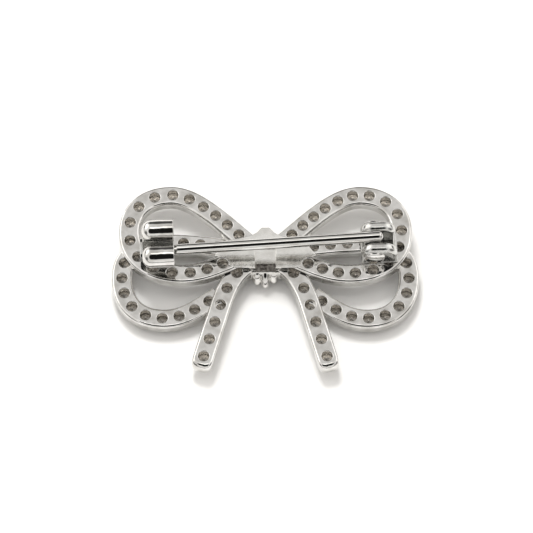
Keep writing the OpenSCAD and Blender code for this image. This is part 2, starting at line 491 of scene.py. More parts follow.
@dataclass(frozen=True)
class MetalFinish:
    """A bare metal with a slow ripple, fine marks and a grain, each at its real size."""

    name: str
    tint: str
    worn_tint: str
    roughness: float
    ripple_mm: float = 1.3
    ripple_depth_mm: float = 0.006
    mark_mm: float = 0.1
    mark_depth_mm: float = 0.0005
    grain: tuple[float, float, float] = (1.0, 0.25, 1.0)

    def make(self) -> bpy.types.Material:
        """Build the material.

        Returns:
            A metal whose colour, roughness and bump follow the piece's own coordinates.
        """
        material, tree = blank_material(self.name)
        place = add_node(tree, "ShaderNodeTexCoord").outputs["Object"]
        waves = noise(tree, place, self.ripple_mm, 2.0)
        drawn = add_node(tree, "ShaderNodeMapping", {"Vector": place, "Scale": self.grain})
        marks = noise(tree, drawn.outputs[0], self.mark_mm, 4.0)
        haze = add_node(
            tree,
            "ShaderNodeMapRange",
            {
                "Value": marks,
                "From Min": 0.4,
                "From Max": 0.75,
                "To Min": self.roughness,
                "To Max": self.roughness * 1.7,
            },
        )
        colour = add_node(tree, "ShaderNodeValToRGB", {"Fac": waves})
        for element, position, code in zip(
            colour.color_ramp.elements, (0.3, 0.62), (self.worn_tint, self.tint)
        ):
            element.position = position
            element.color = srgb(code)
        slow = {"Height": waves, "Strength": 1.0, "Distance": self.ripple_depth_mm * MM}
        ripple = add_node(tree, "ShaderNodeBump", slow).outputs[0]
        fine = {"Height": marks, "Strength": 1.0, "Distance": self.mark_depth_mm * MM}
        relief = add_node(tree, "ShaderNodeBump", {**fine, "Normal": ripple})
        surface(
            tree,
            {
                "Base Color": colour.outputs[0],
                "Metallic": 1.0,
                "Roughness": haze.outputs[0],
                "Normal": relief.outputs[0],
            },
        )
        return material


# A buffed rhodium plate: a cool mirror, with the slow waves of the casting under it.
POLISHED = MetalFinish(
    "rhodium_plated_silver_polished", "#e6e5e3", "#c8c6c2", 0.06, 1.5, 0.05, 0.1, 0.0006
)
# The same plate over metal that was only tumbled: reflections soften and spread.
TUMBLED = MetalFinish(
    "rhodium_plated_silver_tumbled", "#d6d6d4", "#c3c2be", 0.17, 0.9, 0.012, 0.14, 0.002
)
# Plate metal left with a satin face: it takes light without mirroring the pin above it.
SATIN = MetalFinish(
    "rhodium_plated_silver_satin", "#f2f1ee", "#e2e0dc", 0.16, 1.1, 0.008, 0.16, 0.0006
)
# Dark, pitted solder that hardly mirrors anything: its dark tone is partly the rough metal's own
# and partly painted shade at the foot of the slot.
SOLDER_AND_SHADE = MetalFinish(
    "silver_as_cast_unpolished", "#8a8681", "#3a3632", 0.36, 0.35, 0.06, 0.12, 0.015, (1, 1, 1)
)
# Painted shade and dark reflection on the ribbons' narrow sides: a grey, softly reflecting band
# along the lower bevel, so that the edges show a dark line.
SIDE_SHADE = MetalFinish(
    "silver_sides_unbuffed", "#a39e97", "#7d7770", 0.24, 0.8, 0.012, 0.1, 0.002, (1, 1, 1)
)
# Painted shade on the holes' walls: nearly black, standing in for the shade inside each hole.
HOLE_WALL_SHADE = MetalFinish(
    "silver_drilled_tarnished", "#35312d", "#191715", 0.42, 0.3, 0.01, 0.05, 0.002, (1, 1, 1)
)
# Hard drawn wire: bright, with fine die lines along it.
DRAWN = MetalFinish(
    "rhodium_plated_wire_drawn", "#dededc", "#cfcdc9", 0.07, 2.2, 0.004, 0.09, 0.0006, (0.06, 1, 1)
)


@dataclass(frozen=True)
class CubicZirconia:
    """A colourless cut stone: strong bending of light, with a faint film that makes its roughness
    vary.
    """

    name: str = "cubic_zirconia_cut"
    # The warm grey tint is painted shade: it dims the colourless stone to the grey-brown it shows
    # in the holes' shade.
    tint: str = "#cdc5b9"
    bend: float = 2.15
    roughness: float = 0.2
    film_mm: float = 0.5

    def make(self) -> bpy.types.Material:
        """Build the material."""
        material, tree = blank_material(self.name)
        place = add_node(tree, "ShaderNodeTexCoord").outputs["Object"]
        film = noise(tree, place, self.film_mm, 3.0)
        haze = add_node(
            tree,
            "ShaderNodeMapRange",
            {"Value": film, "To Min": self.roughness, "To Max": self.roughness * 1.4},
        )
        surface(
            tree,
            {
                "Base Color": srgb(self.tint),
                "Transmission Weight": 1.0,
                "IOR": self.bend,
                "Roughness": haze.outputs[0],
            },
        )
        return material


@dataclass(frozen=True)
class MattePaper:
    """A sheet of matt white paper, with a faint tooth."""

    name: str = "matt_white_paper"
    tint: str = "#f4f3f1"
    tooth_mm: float = 0.4

    def make(self) -> bpy.types.Material:
        """Build the material."""
        material, tree = blank_material(self.name)
        place = add_node(tree, "ShaderNodeTexCoord").outputs["Object"]
        tooth = noise(tree, place, self.tooth_mm, 3.0)
        relief = add_node(tree, "ShaderNodeBump", {"Height": tooth, "Distance": 0.002 * MM})
        look = {"Base Color": srgb(self.tint), "Roughness": 0.95, "Normal": relief.outputs[0]}
        surface(tree, look)
        return material


# ---------------------------------------------------------------- the bow's ribbons

# Half the ribbon's width, on its flat back and on its stone side.
HALF_FLAT = 0.80
HALF_FRONT = 0.98
# The bevel between back and side: its radius, and the flat step before it.
EDGE_R = 0.31
EDGE_SET = 0.04
# Distance outwards and height above the front, where the side meets the stone side.
EDGE_FOOT = ((0.35, 0.25), (0.35, 0.1), (0.32, 0.03), (0.25, 0.0))
# How much wider and deeper the bevel is across a free end, and that end's corner radius.
END_WIDER = 0.8
END_DEEPER = 1.3
END_ROUND = 0.42
# Radius and height of the rings round a hole: the rounded lip, the wall and the wide foot.
HOLE_RINGS = (
    (0.70, 0.0),
    (0.68, 0.0),
    (0.645, -0.014),
    (0.62, -0.038),
    (0.605, -0.07),
    (0.60, -0.12),
    (0.60, -0.72),
    (0.78, -0.76),
)
# Rows of a cell where the hole's wall, painted dark as shade, starts and ends.
LIP_ROW, FOOT_ROW = 4, 9
# Rows of the edge where the side band, painted dark as shade and reflection, starts and ends.
SHADE_BAND_ROW, WALL_ROW = 7, 11
# Points on each of the four sides of a cell, and the step along a plain stretch.
PER_SIDE = 8
STATION_MM = 0.3


@dataclass
class Run:
    """A stretch of ribbon: plain, or a cell with one stone hole at its middle."""

    start: float
    end: float
    hole: float | None = None
    rounded: bool = False


class Ribbon:
    """A flat ribbon, made by casting, with bevelled edges, pierced behind every stone."""

    def __init__(self, line: CentreLine, back: float, thickness: float) -> None:
        """Start an empty ribbon.

        Args:
            line: Its centre line.
            back: Height of its flat back.
            thickness: From the back to the stone side.
        """
        self.line = line
        self.back = back
        self.front = back - thickness
        self.draft = bmesh.new()
        self.edge = self._edge_profile(0.0)

    def _edge_profile(self, facing: float) -> list[Point2]:
        """The edge's section, from the flat back round to the front.

        Args:
            facing: 0 along a side, 1 across a free end, where the bevel is larger.

        Returns:
            Points of (distance outwards, height).
        """
        z = self.front
        wide, droop = 1 + END_WIDER * facing**2, 1 + END_DEEPER * facing**2
        points: list[Point2] = [(0.0, self.back)]
        for x, y in arc((0.0, 0.0), EDGE_R, 90, 0, 8):
            points.append(((EDGE_SET + x) * wide, self.back - (EDGE_R - y) * droop))
        points += [(x * wide, z + y) for x, y in EDGE_FOOT]
        points.append(((HALF_FRONT - HALF_FLAT) * wide, z))
        return points

    def _rim(self, run: Run) -> list[tuple[Vector, Vector, Vector]]:
        """The 32 points round a cell, each with its outward direction and its front point."""
        found = []
        corner = Vector((run.end - END_ROUND, HALF_FLAT - END_ROUND))
        for side in range(4):
            for k in range(PER_SIDE):
                t = k / PER_SIDE
                along, across = (
                    (run.start + (run.end - run.start) * t, HALF_FLAT),
                    (run.end, HALF_FLAT * (1 - 2 * t)),
                    (run.end + (run.start - run.end) * t, -HALF_FLAT),
                    (run.start, HALF_FLAT * (2 * t - 1)),
                )[side]
                sign = 1 if across >= 0 else -1
                out = Vector((0, sign)) if side in (0, 2) else Vector((1, 0))
                past = Vector((along, abs(across))) - corner
                if run.rounded and min(past) >= 0 and max(past) > 0:
                    turned_in = past.normalized() * max(past)
                    along = corner.x + turned_in.x
                    across = sign * (corner.y + turned_in.y)
                    out = Vector((turned_in.x, sign * turned_in.y)).normalized()
                away = self.line.heading(along) * out.x + self.line.left(along) * out.y
                base = self.line.beside(along, across)
                if run.rounded and side in (0, 1, 2):
                    facing = max(0.0, away.dot(self.line.heading(run.end)))
                    low = base + away * self._edge_profile(facing)[-1][0]
                else:
                    low = self.line.beside(along, across * HALF_FRONT / HALF_FLAT)
                found.append((base, away, low))
        return found

    def _cell(self, run: Run) -> list[tuple[Vector, Vector, Vector]]:
        """Build the back, the hole and the front of one cell, and return its rim."""
        rim = self._rim(run)
        centre = self.line.beside(run.hole, 0)
        ahead, beside = self.line.heading(run.hole), self.line.left(run.hole)
        rows = [[(p.x, p.y, self.back) for p, _, _ in rim]]
        for radius, drop in (*HOLE_RINGS, (HOLE_RINGS[-1][0], self.front - self.back)):
            row = []
            for k in range(len(rim)):
                angle = math.radians(-45 + 360 * k / len(rim))
                p = centre + (beside * math.cos(angle) + ahead * math.sin(angle)) * radius
                row.append((p.x, p.y, self.back + drop))
            rows.append(row)
        rows.append([(p.x, p.y, self.front) for _, _, p in rim])
        grid_faces(self.draft, rows[: LIP_ROW + 1], closed=True)
        # The hole's wall takes the metal painted nearly black as shade.
        grid_faces(self.draft, rows[LIP_ROW : FOOT_ROW + 1], closed=True, zone=Zone.HOLE)
        grid_faces(self.draft, rows[FOOT_ROW:], closed=True)
        return rim

    def _strip(self, run: Run) -> None:
        """Build a plain stretch."""
        count = max(2, math.ceil((run.end - run.start) / STATION_MM))
        places = [run.start + (run.end - run.start) * i / count for i in range(count + 1)]
        for width, height in ((HALF_FLAT, self.back), (HALF_FRONT, self.front)):
            rows = []
            for along in places:
                points = [self.line.beside(along, width * (1 - k / 4)) for k in range(9)]
                rows.append([(p.x, p.y, height) for p in points])
            grid_faces(self.draft, rows, closed=False)
        for side in (1, -1):
            self._edge([self._station(along, side) for along in places])

    def _station(self, along: float, side: int) -> tuple[Vector, Vector]:
        """A point on the flat's left (1) or right (-1) edge, and its outward direction."""
        return self.line.beside(along, HALF_FLAT * side), self.line.left(along) * side

    def _edge(self, stations: Sequence[tuple[Vector, Vector]], end: Vector | None = None) -> None:
        """Sweep the bevelled edge along stations.

        Args:
            stations: Points with their outward directions.
            end: The direction of a free end, where the bevel runs deeper.
        """
        rows = []
        for base, away in stations:
            facing = max(0.0, away.dot(end)) if end else 0.0
            edge = self._edge_profile(facing) if facing else self.edge
            rows.append([(base.x + away.x * d, base.y + away.y * d, z) for d, z in edge])
        # The middle band is the side, painted dark as shade and reflection.
        bands = (
            (0, SHADE_BAND_ROW, Zone.FACE),
            (SHADE_BAND_ROW, WALL_ROW, Zone.SIDE),
            (WALL_ROW, len(self.edge), Zone.FACE),
        )
        for first, last, zone in bands:
            band = [row[first : last + 1] for row in rows]
            grid_faces(self.draft, band, closed=False, zone=zone)

    def _close(self, along: float) -> None:
        """Close the ribbon with a flat end, where it runs into the knot."""
        points = [(HALF_FLAT * (k / 4 - 1), self.back) for k in range(8)]
        points += [(HALF_FLAT + d, z) for d, z in self.edge]
        points += [(HALF_FRONT * (1 - k / 4), self.front) for k in range(1, 8)]
        points += [(-HALF_FLAT - d, z) for d, z in reversed(self.edge)][:-1]
        cap(self.draft, [(*self.line.beside(along, across), z) for across, z in points])

    def build(
        self, name: str, holes: Sequence[float], trim: float = 0.0, free_end: bool = False
    ) -> bpy.types.Object:
        """Lay out the stretches and build them.

        Args:
            name: The piece's name.
            holes: Distances of the hole centres along the line.
            trim: How far short of the line's end it stops, under another ribbon.
            free_end: Whether the far end is rounded, rather than buried in the knot.

        Returns:
            The ribbon's piece.
        """
        cuts = [(a + b) / 2 for a, b in zip(holes, holes[1:])]
        cuts = [2 * holes[0] - cuts[0], *cuts, 2 * holes[-1] - cuts[-1]]
        runs = [Run(0.0, cuts[0])]
        runs += [Run(a, b, h) for a, b, h in zip(cuts, cuts[1:], holes)]
        if free_end:
            end = self.line.length - max(x for x, _ in self._edge_profile(1.0))
            runs[-1] = Run(cuts[-2], end, holes[-1], rounded=True)
        else:
            runs.append(Run(cuts[-1], self.line.length - trim))
        for run in runs:
            if run.hole is None:
                self._strip(run)
                continue
            rim = self._cell(run)
            stations = [(p, away) for p, away, _ in rim]
            if run.rounded:
                round_end = [*stations[: 3 * PER_SIDE], self._station(run.start, -1)]
                self._edge(round_end, end=self.line.heading(run.end))
                continue
            self._edge([*stations[:PER_SIDE], self._station(run.end, 1)])
            below = stations[2 * PER_SIDE : 3 * PER_SIDE]
            self._edge([*below, self._station(run.start, -1)])
        self._close(0.0)
        if not free_end:
            self._close(self.line.length - trim)
        return mesh_piece(name, self.draft)


@dataclass
class BowSpec:
    """One family of ribbons: its curves, how many stones it holds and where they start."""

    label: str
    curves: Sequence[Sequence[Point2]]
    counts: dict[Side, int]
    first: float
    last: float
    swell: float = 0.0
    trim: float = 0.0


class Bow(Fitting):
    """The four loops and two tails."""

    SLOT = Slot.RIBBONS
    GRAIN_ACROSS = 0.5
    SPECS = (
        BowSpec("upper", UPPER_CURVES, {Side.LEFT: 16, Side.RIGHT: 17}, 1.8, 2.3, 0.13),
        BowSpec("lower", LOWER_CURVES, {Side.LEFT: 16, Side.RIGHT: 16}, 1.9, 2.86, trim=1.6),
        BowSpec("tail", TAIL_CURVES, {Side.LEFT: 6, Side.RIGHT: 6}, 2.4, 1.45),
    )

    def __init__(self, layout: Layout) -> None:
        """Prepare the bow for a layout."""
        super().__init__(layout)
        self.seats: dict[str, list[Point3]] = {}
        self.gaps: dict[str, list[Point3]] = {}

    def build(self) -> None:
        """Build every ribbon, and note where its stones and beads sit."""
        lay = self.layout
        lows = {"upper": lay.up_z, "lower": lay.low_z, "tail": lay.tail_z}
        for spec in self.SPECS:
            first, last = spec.first * lay.scale, spec.last * lay.scale
            for side in Side:
                line = CentreLine(spec.curves, side, lay.scale)
                holes = line.spaced(spec.counts[side], first, last, spec.swell)
                label = f"{spec.label}_{side.name.lower()}"
                ribbon = Ribbon(line, lows[spec.label] + lay.ribbon_t, lay.ribbon_t)
                free = spec.label == "tail"
                node = label if free else label.replace("_", "_loop_")
                self.keep(ribbon.build(f"ribbon_{label}", holes, spec.trim, free), node)
                self.seats[label] = [(*line.at(h), ribbon.front) for h in holes]
                self.gaps[label] = self._grains(line, holes, ribbon.front)

    @staticmethod
    def _grains(line: CentreLine, holes: Sequence[float], front: float) -> list[Point3]:
        """Places of the setting grains: two in the gap between each pair of stones."""
        grains = []
        for before, after in zip(holes, holes[1:]):
            middle = (before + after) / 2
            for across in (-Bow.GRAIN_ACROSS, Bow.GRAIN_ACROSS):
                grains.append((*line.beside(middle, across), front))
        return grains

    def dress(self, *metals: bpy.types.Material) -> None:
        """Give the ribbons the metals of their faces, their holes' walls and their sides."""
        for piece in self.pieces.values():
            wear(piece, *metals)


# ---------------------------------------------------------------- plate and knot


class BackPlate(Fitting):
    """The flat plate over the middle, slotted from below, and its rough solder joint."""

    SLOT = Slot.RIBBONS
    HALF = (
        (3.3, 1.0),
        (4.0, 1.3),
        (4.1, 2.1),
        (5.6, 2.5),
        (4.3, 4.4),
        (3.1, 4.62),
        (2.0, 4.9),
        (1.45, 5.08),
        (1.0, 5.38),
        (0.68, 5.75),
        (0.42, 6.0),
    )
    SLOT_HALF, SLOT_TOP = 1.12, 3.9
    PROUD = 0.015
    EDGE = 0.07
    SOLDER_LOW, SOLDER_HIGH = 0.82, 1.78
    SOLDER_SUNK = 0.3

    def build(self) -> None:
        """Build the plate and the solder in its slot."""
        lay = self.layout
        half = [(x * lay.scale, y * lay.scale) for x, y in self.HALF]
        wide, top = self.SLOT_HALF * lay.scale, self.SLOT_TOP * lay.scale
        low = half[0][1]
        outline = half + [(-x, y) for x, y in reversed(half)]
        outline += [(-wide, low), (-wide, top), (wide, top), (wide, low)]
        plate = slab(outline, lay.plate_z, lay.back_z + self.PROUD, self.EDGE)
        self.add("back_plate_arms", plate, "back_plate")
        self.add("slot_solder", self._solder(wide), None)

    def _solder(self, wide: float) -> bmesh.types.BMesh:
        """A lumpy bead of metal across the foot of the slot."""
        low, high = self.SOLDER_LOW * self.layout.scale, self.SOLDER_HIGH * self.layout.scale
        across, along = 24, 12
        rows = []
        for j in range(along + 1):
            y = low + (high - low) * j / along
            edge = math.sin(math.pi * j / along) ** 0.5
            row = []
            for i in range(across + 1):
                x = wide * (2 * i / across - 1)
                lump = 0.07 * math.sin(5.1 * x + 2.0) * math.sin(7.3 * y) + 0.04 * math.sin(13 * x)
                row.append((x, y, self.layout.plate_z + 0.02 + 0.26 * edge + lump * edge))
            rows.append(row)
        draft = bmesh.new()
        grid_faces(draft, rows, closed=False)
        base = self.layout.plate_z - self.SOLDER_SUNK
        loop = rows[0] + [r[-1] for r in rows[1:]]
        loop += rows[-1][-2::-1] + [r[0] for r in rows[-2:0:-1]]
        foot = [(x, y, base) for x, y, _ in loop]
        grid_faces(draft, [loop, foot], closed=True)
        cap(draft, foot)
        return draft

    def dress(self, plate_metal: bpy.types.Material, solder_shade: bpy.types.Material) -> None:
        """Give the plate and the solder their metals."""
        wear(self.pieces["back_plate_arms"], plate_metal)
        # The solder's dark metal is partly its own and partly painted shade in the slot's foot.
        wear(self.pieces["slot_solder"], solder_shade)


@dataclass(frozen=True)
class Pleat:
    """One pleat of the knot: its top and foot along Y, and the shape of its foot."""

    label: str
    place: int
    top: float
    foot: float
    lean: float
    sharpness: float


class Knot(Fitting):
    """The knot: a core that fills the slot, and three pleats over its stone side."""

    SLOT = Slot.RIBBONS
    CORE_HALF = 1.72
    CORE_LOW, CORE_HIGH = 0.6, 4.88
    CORE_FRONT = 0.8
    PLEATS = (
        Pleat("left", -1, 6.3, -0.1, -0.12, 0.1),
        Pleat("middle", 0, 6.6, -0.5, -0.02, 0.7),
        Pleat("right", 1, 6.3, 0.1, 0.12, 0.1),
    )
    SQUARENESS = 0.85
    THINNEST = 0.012

    def build(self) -> None:
        """Build the core and the pleats."""
        u = self.layout.scale
        wide = self.CORE_HALF * u
        outline = oblong(-wide, self.CORE_LOW * u, wide, self.CORE_HIGH * u)
        core = slab(outline, self.CORE_FRONT, self.layout.plate_z - 0.04, 0.2)
        self.add("knot_core", core, "knot")
        for pleat in self.PLEATS:
            self.add(f"knot_pleat_{pleat.label}", self._pleat(pleat, u), "knot")

    def _pleat(self, pleat: Pleat, scale: float) -> bmesh.types.BMesh:
        """Build one pleat as rings from its top to its foot.

        Args:
            pleat: Which pleat.
            scale: Size of this bow against the drawn one.

        Returns:
            A closed draft.
        """
        high = self.layout.plate_z - 0.06
        top, foot = pleat.top * scale, pleat.foot * scale
        rows = []
        steps, around = 36, 32
        for j in range(steps + 1):
            y = top + (foot - top) * (1 - math.cos(math.pi * j / steps)) / 2
            down = (top - y) / (top - foot)
            near_top = min(1.0, (top - y) / 1.3)
            near_foot = min(1.0, (y - foot) / (0.8 + 0.7 * pleat.sharpness))
            ends = self._rounded(near_top) * self._rounded(near_foot)
            swell = 0.58 + 0.14 * math.sin(math.pi * min(1.0, down))
            half = max(swell * ends, self.THINNEST)
            tall = max(high / 2 * (0.25 + 0.75 * ends) * ends, self.THINNEST)
            middle = pleat.place * (0.55 + 0.25 * down) + pleat.lean * down
            lift = high / 2 - max(0.0, 1 - near_foot) * 0.15
            row = []
            for i in range(around):
                c, s = math.cos(math.tau * i / around), math.sin(math.tau * i / around)
                x = half * math.copysign(abs(c) ** self.SQUARENESS, c)
                z = tall * math.copysign(abs(s) ** self.SQUARENESS, s)
                row.append((middle + x, y, max(0.0, lift + z)))
            rows.append(row)
        draft = bmesh.new()
        grid_faces(draft, rows, closed=True)
        cap(draft, rows[0])
        cap(draft, rows[-1])
        return draft

    @staticmethod
    def _rounded(share: float) -> float:
        """Height of a quarter circle, for a share of the way in from its tip."""
        return math.sqrt(max(0.0, 1 - (1 - share) ** 2))

    def dress(self, pleat_metal: bpy.types.Material, core_metal: bpy.types.Material) -> None:
        """Give the knot its metals."""
        for name, piece in self.pieces.items():
            wear(piece, core_metal if name == "knot_core" else pleat_metal)


# ---------------------------------------------------------------- catch, hinge and pin

CATCH_LEN = 3.7
PIN_REACH = 23.8
STEM_RISE = 1.2
STEM_TILT = math.atan2(1.3, PIN_REACH)


def on_its_side(draft: bmesh.types.BMesh, start: float, axis: str) -> bmesh.types.BMesh:
    """Turn a slab drawn in XY and thick along Z so that it is thick along X or Y.

    Args:
        draft: The slab, its outline drawn as (Y, Z) for "X", or (X, Z) for "Y".
        start: Where its near face goes along that axis.
        axis: "X" or "Y".

    Returns:
        The same draft, turned.
    """
    for vert in draft.verts:
        u, v, w = vert.co
        vert.co = (start + w, u, v) if axis == "X" else (u, start + w, v)
    return draft


def dome(radius: float, height: float) -> list[Point2]:
    """A quarter ellipse, from the tip below zero out to the rim at height 0."""
    angles = [math.radians(a) for a in range(0, 91, 9)]
    return [(radius * math.sin(a), -math.cos(a) * height) for a in angles]


class Catch(Fitting):
    """A channel with two rounded lips that the pin springs between."""

    LIP_R = 1.22
    LIP_BEND = 1.0
    LIP_IN = 0.25
    LIP_OUT = 0.05
    LIP_Y, LIP_Z = 1.6, 2.9
    RIM_R = 0.1
    CHANNEL_HALF = 0.75
    CHANNEL_T = 0.35
    EDGE = 0.06
    NODES = {"near": "catch_jaw_near", "far": "catch_jaw_far"}

    def build(self) -> None:
        """Build the channel, its end wall and the lips."""
        lay = self.layout
        start = -PIN_REACH * lay.scale - CATCH_LEN / 2
        floor = lay.back_z - lay.rivet.z
        inner, bed = self.CHANNEL_HALF, floor + self.CHANNEL_T
        outer = inner + self.CHANNEL_T
        top = floor + self.LIP_Z - 2 * self.LIP_R / 3
        profile = [(-outer, floor), (outer, floor), (outer, top), (inner, top)]
        profile += [(inner, bed), (-inner, bed), (-inner, top), (-outer, top)]
        walls = on_its_side(slab(profile, 0, CATCH_LEN, self.EDGE), start, "X")
        self.add("catch_channel", walls, "catch_base", lay.pin_frame)
        end = slab(oblong(-outer, floor, outer, top), 0, self.CHANNEL_T, self.EDGE)
        wall = on_its_side(end, start + 0.004, "X")
        self.add("catch_end_wall", wall, "catch_base", lay.pin_frame)
        for name, side in (("near", -1), ("far", 1)):
            lip = self._lip(Vector((start + self.LIP_IN, side * self.LIP_Y, floor + self.LIP_Z)))
            self.add(f"catch_lip_{name}", lip, self.NODES[name], lay.pin_frame)

    def _lip(self, place: Vector) -> bmesh.types.BMesh:
        """A bar with a rounded outer end and a softened flat end."""
        bend, rim_r = self.LIP_BEND, self.RIM_R
        length = CATCH_LEN - self.LIP_IN + self.LIP_OUT
        tip = [(0.0, 0.0), (0.3, 0.004)]
        tip += [(self.LIP_R - bend + x, bend + y) for x, y in arc((0, 0), bend, -90, 0, 12)]
        corner = arc((0, 0), rim_r, 0, 90, 5)
        rim = [(self.LIP_R - rim_r + x, length - rim_r + y) for x, y in corner]
        draft = turned([*tip, (self.LIP_R, length * 0.5), *rim, (0.0, length)], 56)
        draft.transform(Matrix.Rotation(math.pi / 2, 4, "Y"))
        draft.transform(Matrix.Translation(place))
        return draft

    def dress(self, bright: bpy.types.Material, soft: bpy.types.Material) -> None:
        """Give the catch its metals."""
        for name, piece in self.pieces.items():
            wear(piece, bright if "lip" in name else soft)


class Hinge(Fitting):
    """Two arched cheeks, the wall behind them and the rivet through both."""

    CHEEK_GAP = 1.36
    CHEEK_T = 1.25
    CHEEK_R = 1.45
    CHEEK_EDGE = 0.5
    WALL_X = 2.05
    WALL_T = 0.6
    WALL_TOP = 0.55
    FOOT_X = (-1.4, 2.6)
    FOOT_T = 0.2
    HEAD_R = 1.15
    HEAD_H = 0.45
    SHAFT_R = 0.45

    def build(self) -> None:
        """Build the yoke and the rivet."""
        lay = self.layout
        frame, radius = lay.pin_frame, self.CHEEK_R
        floor = lay.back_z - lay.rivet.z
        bend = (self.WALL_X + self.WALL_T - radius - 0.15, 0.0)
        arch = [(bend[0] + radius, floor), *arc(bend, radius, 0, 90, 16)]
        arch += [*arc((0, 0), radius, 90, 180, 16), (-radius, floor)]
        inner = self.CHEEK_GAP / 2
        half = inner + self.CHEEK_T
        for name, start in (("near", -half), ("far", inner)):
            cheek = on_its_side(slab(arch, 0, self.CHEEK_T, self.CHEEK_EDGE), start, "Y")
            self.add(f"hinge_cheek_{name}", cheek, "hinge_yoke", frame)
        reach = inner + self.CHEEK_EDGE
        wall = slab(oblong(-reach, floor, reach, self.WALL_TOP), 0, self.WALL_T - 0.25, 0.12)
        self.add("hinge_back_wall", on_its_side(wall, self.WALL_X, "X"), "hinge_yoke", frame)
        foot = oblong(self.FOOT_X[0], -half + 0.02, self.FOOT_X[1], half - 0.02)
        self.add("hinge_foot", slab(foot, floor, floor + self.FOOT_T, 0.06), "hinge_yoke", frame)
        head = dome(self.HEAD_R, self.HEAD_H)
        near = [*((r, z - half) for r, z in head), (self.SHAFT_R, -half)]
        far = [(self.SHAFT_R, half), *((r, half - z) for r, z in reversed(head))]
        rivet = turned([*near, *far], 40)
        rivet.transform(Matrix.Rotation(-math.pi / 2, 4, "X"))
        self.add("hinge_rivet_domed", rivet, "hinge_rivet", frame)

    def dress(self, soft: bpy.types.Material, bright: bpy.types.Material) -> None:
        """Give the hinge its metals."""
        for name, piece in self.pieces.items():
            wear(piece, bright if name == "hinge_rivet_domed" else soft)


class Pin(Fitting):
    """The pin: drawn wire on a flat lug, thinned to a point that snaps into the catch."""

    BODY = BODY_PIN
    SLOT = Slot.PIN
    WIRE_R = 0.6
    POINT_R = 0.3
    LUG_R = 1.1
    LUG_W = 1.24
    # Radius and distance from where the thin part starts, down the shoulder.
    SHOULDER = ((0.585, -0.62), (0.5, -0.42), (0.38, -0.16), (0.31, 0.0))
    # Radius and distance back from the point.
    POINT = ((0.3, 0.9), (0.25, 0.5), (0.13, 0.12), (0.05, 0.01), (0.0, 0.0))

    def build(self) -> None:
        """Build the wire and its lug."""
        frame = self.layout.pin_frame @ Matrix.Rotation(-STEM_TILT, 4, "Y")
        reach = PIN_REACH * self.layout.scale
        thin = reach - CATCH_LEN / 2 + 0.25
        point = reach + CATCH_LEN / 2 - 1.1
        body = [(r, z - 0.6) for r, z in dome(self.WIRE_R, 0.5)]
        body += [(self.WIRE_R, (thin - 0.7) * k / 12) for k in range(1, 13)]
        body += [(r, thin + z) for r, z in self.SHOULDER]
        body += [(self.POINT_R, thin + 0.15), *((r, point - z) for r, z in self.POINT)]
        wire = turned(body, 40)
        wire.transform(Matrix.Rotation(-math.pi / 2, 4, "Y"))
        wire.transform(Matrix.Translation((0, 0, STEM_RISE)))
        self.add("pin_wire", wire, "pin_stem", frame)
        side = [*arc((0, 0), self.LUG_R, 180, 360, 24), (self.LUG_R, 0.3)]
        side += [(0.62, STEM_RISE), (-self.LUG_R, STEM_RISE)]
        lug = on_its_side(slab(side, 0, self.LUG_W, 0.1), -self.LUG_W / 2, "Y")
        self.add("pin_lug", lug, "pin_stem", frame)

    def dress(self, wire: bpy.types.Material, soft: bpy.types.Material) -> None:
        """Give the pin its metals."""
        wear(self.pieces["pin_wire"], wire)
        wear(self.pieces["pin_lug"], soft)


# ---------------------------------------------------------------- stones and grains

SIZE_SEED = 7
TURN_SEED = 11


def scatter_tree(name: str) -> bpy.types.GeometryNodeTree:
    """A tree that sets one shape on every point of a mesh, each copy turned freely about Z.

    Args:
        name: The tree's name.

    Returns:
        A tree with the inputs Shape, Finish, Size and Spread.
    """
    tree = bpy.data.node_groups.new(name, "GeometryNodeTree")
    kinds = ("Geometry", "Object", "Material", "Float", "Float")
    for label, kind in zip(("Geometry", "Shape", "Finish", "Size", "Spread"), kinds):
        tree.interface.new_socket(label, in_out="INPUT", socket_type=f"NodeSocket{kind}")
    tree.interface.new_socket("Geometry", in_out="OUTPUT", socket_type="NodeSocketGeometry")
    given = add_node(tree, "NodeGroupInput").outputs
    shape = add_node(tree, "GeometryNodeObjectInfo", {"Object": given["Shape"]})
    both = {0: given["Size"], 1: given["Spread"]}
    low = add_node(tree, "ShaderNodeMath", both, operation="SUBTRACT")
    high = add_node(tree, "ShaderNodeMath", both, operation="ADD")
    # Inputs 2, 3 and 8 of a random value are its least, its greatest and its seed.
    sizes = {2: low.outputs[0], 3: high.outputs[0], 8: SIZE_SEED}
    size = add_node(tree, "FunctionNodeRandomValue", sizes)
    turn = add_node(tree, "FunctionNodeRandomValue", {2: 0.0, 3: math.tau, 8: TURN_SEED})
    spin = add_node(tree, "ShaderNodeCombineXYZ", {"Z": turn.outputs[1]})
    set_on = add_node(
        tree,
        "GeometryNodeInstanceOnPoints",
        {
            "Points": given["Geometry"],
            "Instance": shape.outputs["Geometry"],
            "Rotation": spin.outputs[0],
            "Scale": size.outputs[1],
        },
    )
    real = add_node(tree, "GeometryNodeRealizeInstances", {"Geometry": set_on.outputs[0]})
    dressed = {"Geometry": real.outputs[0], "Material": given["Finish"]}
    finish = add_node(tree, "GeometryNodeSetMaterial", dressed)
    add_node(tree, "NodeGroupOutput", {0: finish.outputs[0]})
    return tree


def grow(
    piece: bpy.types.Object, tree: bpy.types.GeometryNodeTree, values: dict[str, object]
) -> None:
    """Put a tree on a piece, set its inputs, and bake the result."""
    modifier = piece.modifiers.new(tree.name, "NODES")
    modifier.node_group = tree
    for item in tree.interface.items_tree:
        if item.in_out == "INPUT" and item.name in values:
            modifier[item.identifier] = values[item.name]
    bpy.context.view_layer.update()
    bake_modifiers(piece)


def points_piece(name: str, points: Iterable[Point3]) -> bpy.types.Object:
    """An object that only holds points, given in millimetres."""
    mesh = bpy.data.meshes.new(name)
    mesh.from_pydata([tuple(c * MM for c in p) for p in points], [], [])
    piece = bpy.data.objects.new(name, mesh)
    bpy.context.scene.collection.objects.link(piece)
    return piece


